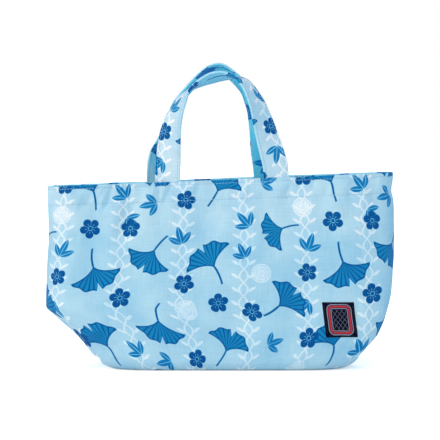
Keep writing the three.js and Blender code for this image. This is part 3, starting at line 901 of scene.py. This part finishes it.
def binding(name, line, across, node):
    """A tape along a line, lying to one side of it."""
    line, across = np.array(line, float), unit(np.array(across, float))
    along = unit(np.gradient(line, axis=0))
    run = np.arange(len(line))
    through = unit(np.cross(along, across))
    wavy = sum(sway * np.sin(run * turn) for sway, turn in BINDING_WAVES) * (run > 1)
    line = line + through * wavy[:, None] + across * BINDING_WIDTH / 2
    strip = ribbon(line, across, through, BINDING_WIDTH, BINDING_THICKNESS, BINDING_STITCH)
    tape = make_piece(name, *strip, cotton_tape)
    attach(tape, "bag")
    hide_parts(node)


for name, side in (("left_side_seam", LEFT), ("right_side_seam", RIGHT)):
    heights = np.linspace(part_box(name)[0][2] / METRES, BODY_HEIGHT, SIDE_POINTS)
    edges = side["sign"] * np.array([half_width(side, z) for z in heights])
    seam = [(x, 0, z + rim_lift(x, z)) for x, z in zip(edges, heights)]
    binding(name + "_binding", seam, [(-side["sign"], 0, 0)] * len(seam), name)
low, high = (np.array(corner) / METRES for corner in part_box("bottom_seam"))
middle = [(x, 0, low[2] + BASE_CLEAR) for x in np.linspace(low[0], high[0], BASE_POINTS)]
binding("bottom_seam_binding", middle, [(0, 0, 1)] * len(middle), "bottom_seam")
for name, sign in (("left_corner_seam", -1), ("right_corner_seam", 1)):
    low, high = (np.array(corner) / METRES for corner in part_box(name))
    start = low[0] if sign < 0 else high[0]
    ys = np.linspace(low[1], high[1], CORNER_POINTS)
    corner = [(start, y, (low[2] + high[2]) / 2) for y in ys]
    binding(name + "_binding", corner, [(-sign, 0, 0)] * len(corner), name)


# Woven label. A small dark damask label with a red and grey border, its edges folded under, sewn on with a
# row of stitches all round near the right lower corner of the front.
LABEL_WIDTH = 29.0
LABEL_HEIGHT = 31.6
LABEL_X = 108.2
LABEL_Z = 46.5
LABEL_LEAN = math.radians(6.5)  # its sides lean, its top and bottom stay level
LABEL_THICKNESS = 0.7
LABEL_GRID = (31, 35)
LABEL_GAP = 0.15
LABEL_ROUNDING = 0.9
LABEL_STITCH = 1.4
STITCH_CLEAR = 0.1
BORDER_CORNER = 8.0  # radius at the label's edge, from which the lines of the border are set in
BORDER_IN = (0.45, -1.0)  # the border lies further in at the sides, and less far at the top and bottom
LATTICE = (0.8, 2.1)  # slant and half the spacing of its bars
LATTICE_COVER = 0.55
PICK_PITCH = 0.9  # coarser than real, so that the weave shows
LABEL_BLACK = "#03061c"
LABEL_RED = "#c63842"
LABEL_GREY = "#9a9cb4"
THREAD_DARK = "#1b2334"
# The border's lines: how far in, half the width and the colour.
BORDER_LINES = ((3.2, 0.35, LABEL_GREY), (5.0, 0.8, LABEL_RED), (6.7, 0.3, LABEL_GREY))
LINE_EDGE = 3.0

# Damask of polyester yarn: the eye sees a matt, nearly black ground with a fine grain of picks.
label_weave, tree, shader = new_material("damask_woven_label")
cloth = add(tree, "ShaderNodeUVMap", uv_map="cloth_mm")
parts = add(tree, SPLIT, [cloth]).node
# Distance in from the label's edge, along lines with rounded corners.
past = []
for k, half in enumerate((LABEL_WIDTH / 2, LABEL_HEIGHT / 2)):
    far = add(tree, MATH, [parts.outputs[k]], "ABSOLUTE")
    past.append(add(tree, MATH, [far, half - BORDER_CORNER - BORDER_IN[k]], "SUBTRACT"))
corner = add(tree, VECTOR, [add(tree, "ShaderNodeCombineXYZ", past), (0, 0, 0)], "MAXIMUM")
corner = add(tree, VECTOR, [corner], "LENGTH")
flat = add(tree, MATH, past, "MAXIMUM")
flat = add(tree, MATH, [flat, 0.0], "MINIMUM")
inset = add(tree, MATH, [corner, flat], "ADD")
inset = add(tree, MATH, [BORDER_CORNER, inset], "SUBTRACT")
# A lattice of small diamonds fills the middle.
lattice = []
for slant in (-LATTICE[0], LATTICE[0]):
    bar = add(tree, MATH, [parts.outputs[1], slant, parts.outputs[0]], "MULTIPLY_ADD")
    bar = add(tree, MATH, [bar, LATTICE[1]], "PINGPONG")
    lattice.append(add(tree, MATH, [bar, -2.6, 1.0], "MULTIPLY_ADD", use_clamp=True))
lattice = add(tree, MATH, lattice, "MAXIMUM")
middle_mask = add(tree, MATH, [inset, 2.0, -15.0], "MULTIPLY_ADD", use_clamp=True)
lattice = add(tree, MATH, [lattice, middle_mask], "MULTIPLY")
lattice = add(tree, MATH, [lattice, LATTICE_COVER], "MULTIPLY")
colour = add(tree, MIX, {0: lattice, 6: srgb(LABEL_BLACK), 7: srgb(LABEL_GREY)}, data_type="RGBA")
for middle_mm, half_mm, code in BORDER_LINES:
    line_in = band(tree, inset, middle_mm, LINE_EDGE, 0.5 + LINE_EDGE * half_mm)
    colour = add(tree, MIX, {0: line_in, 6: colour, 7: srgb(code)}, data_type="RGBA")
picks = weave(tree, cloth, PICK_PITCH)
shade = add(tree, MATH, [picks, 0.12, 1.0], "MULTIPLY_ADD")
colour = add(tree, VECTOR, {0: colour, 3: shade}, "SCALE")
relief = {"Height": picks, "Strength": 0.35, "Distance": GRAIN_RELIEF * METRES}
relief = add(tree, "ShaderNodeBump", relief)
feed(tree, shader, {"Base Color": colour, "Normal": relief, "Roughness": 0.7, "Specular IOR Level": 0.05})

front = panels["front"][0]
front_tree = BVHTree.FromPolygons(front.reshape(-1, 3).tolist(), grid_faces(*front.shape[:2]).tolist())


def on_front(x, z, lift):
    """A point this far out from the front's cloth, and the way out there."""
    hit, normal, _, _ = front_tree.ray_cast(Vector((x, -200, z)), Vector((0, 1, 0)))
    normal = normal if normal.y < 0 else -normal
    return np.array(hit + normal * (CLOTH / 2 + lift)), np.array(normal)


def label_place(across, up):
    return LABEL_X + across - up * math.tan(LABEL_LEAN), LABEL_Z + up


us = np.linspace(-0.5, 0.5, LABEL_GRID[0]) * LABEL_WIDTH
vs = np.linspace(-0.5, 0.5, LABEL_GRID[1]) * LABEL_HEIGHT
rows, places = [], []
for v in vs:
    for u in us:
        near_edge = min(LABEL_WIDTH / 2 - abs(u), LABEL_HEIGHT / 2 - abs(v))
        lift = LABEL_GAP + LABEL_THICKNESS * float(smooth(near_edge / LABEL_ROUNDING))
        rows.append(on_front(*label_place(u, v), lift)[0])
        places.append((u, v))
label = make_piece("woven_label_patch", rows, grid_faces(len(vs), len(us)), places, label_weave)
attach(label, "bag")
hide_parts("woven_label")
side, foot = LABEL_WIDTH / 2 - LABEL_STITCH, LABEL_HEIGHT / 2 - LABEL_STITCH
corners = [(-side, -foot), (side, -foot), (side, foot), (-side, foot), (-side, -foot)]
rows = []
for (u0, v0), (u1, v1) in zip(corners, corners[1:]):
    sewn = [label_place(lerp(u0, u1, t), lerp(v0, v1, t)) for t in np.linspace(0, 1, 24)]
    found = [on_front(x, z, LABEL_THICKNESS + STITCH_CLEAR) for x, z in sewn]
    rows.append((np.array([p for p, _ in found]), np.array([n for _, n in found])))
# Polyester thread is smooth and shines a little.
polyester_thread = fabric_finish("dark_polyester_thread", THREAD_DARK, 0.5, 0.5, 0.15)
label_thread = stitching("woven_label_stitching", rows, polyester_thread)
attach(label_thread, "bag")


# Floor and light. A white studio floor that keeps the bag's shadow and runs out into a white background,
# soft lamps in front, above, at the left and behind, and a cool, even light from all round.
FLOOR_REACH = 8.0 / METRES
PAPER_WHITE = "#f4f6f8"
GLOW_NEAR, GLOW_FAR = (0.3, 0.52), (1.3, 1.0)  # metres from the bag, and how much white is added there
WHITE = (1, 1, 1, 1)
ROOM_LIGHT = "#92d7ff"
ROOM_STRENGTH = 0.65
LAMP_AIM = Vector((0, 0, 0.12))


def seen_rays(tree):
    """1 for a ray from the camera, also by way of gloss or glass, and 0 for one that lights the bag."""
    path = add(tree, "ShaderNodeLightPath").node.outputs
    seen = add(tree, MATH, [path["Is Camera Ray"], path["Is Glossy Ray"]], "MAXIMUM")
    return add(tree, MATH, [seen, path["Is Transmission Ray"]], "MAXIMUM")


# Studio paper is matt and white.
paper, tree, shader = new_material("white_studio_paper")
feed(tree, shader, {"Base Color": srgb(PAPER_WHITE), "Roughness": 0.9})
away = add(tree, VECTOR, [add(tree, "ShaderNodeTexCoord").node.outputs["Object"]], "LENGTH")
glow = {"Value": away, 1: GLOW_NEAR[0], 2: GLOW_FAR[0], 3: GLOW_NEAR[1], 4: GLOW_FAR[1]}
glow = add(tree, "ShaderNodeMapRange", glow)
glow = add(tree, MATH, [glow, seen_rays(tree)], "MULTIPLY")
glow = add(tree, "ShaderNodeEmission", {"Color": WHITE, "Strength": glow})
glow = add(tree, "ShaderNodeAddShader", [shader.outputs[0], glow])
feed(tree, tree.nodes["Material Output"], {"Surface": glow})
sheet = np.array([(-1, -1, 0), (1, -1, 0), (1, 1, 0), (-1, 1, 0)]) * FLOOR_REACH
floor = make_piece("floor", sheet, [(0, 1, 2, 3)], None, paper)

world = bpy.data.worlds.new("studio")
bpy.context.scene.world = world
world.use_nodes = True
tree = world.node_tree
room = add(tree, "ShaderNodeBackground", {"Color": srgb(ROOM_LIGHT), "Strength": ROOM_STRENGTH})
backdrop = add(tree, "ShaderNodeBackground", {"Color": WHITE, "Strength": 1.0})
around = add(tree, "ShaderNodeMixShader", [seen_rays(tree), room, backdrop])
feed(tree, tree.nodes["World Output"], {"Surface": around})

# Each lamp's place and size in metres, its watts and its tint.
for name, place, size, watts, tint in (
    ("front_softbox", (0.1, -2.3, 0.9), 1.5, 16, "#ffe3be"),
    ("top_softbox", (0.1, -0.9, 2.2), 1.2, 14, "#ffe3be"),
    ("left_softbox", (-2.25, -0.8, 0.9), 0.5, 23, "#ffdcbc"),
    ("back_softbox", (0.6, 2.3, 1.3), 1.2, 26, "#ffe8ca"),
):
    lamp = bpy.data.lights.new(name, "AREA")
    lamp.shape = "DISK"
    lamp.size = size
    lamp.energy = watts
    lamp.color = srgb(tint)[:3]
    softbox = bpy.data.objects.new(name, lamp)
    softbox.location = place
    softbox.rotation_euler = (Vector(place) - LAMP_AIM).to_track_quat("Z", "Y").to_euler()
    bpy.context.collection.objects.link(softbox)
bpy.context.scene.view_settings.view_transform = "Standard"
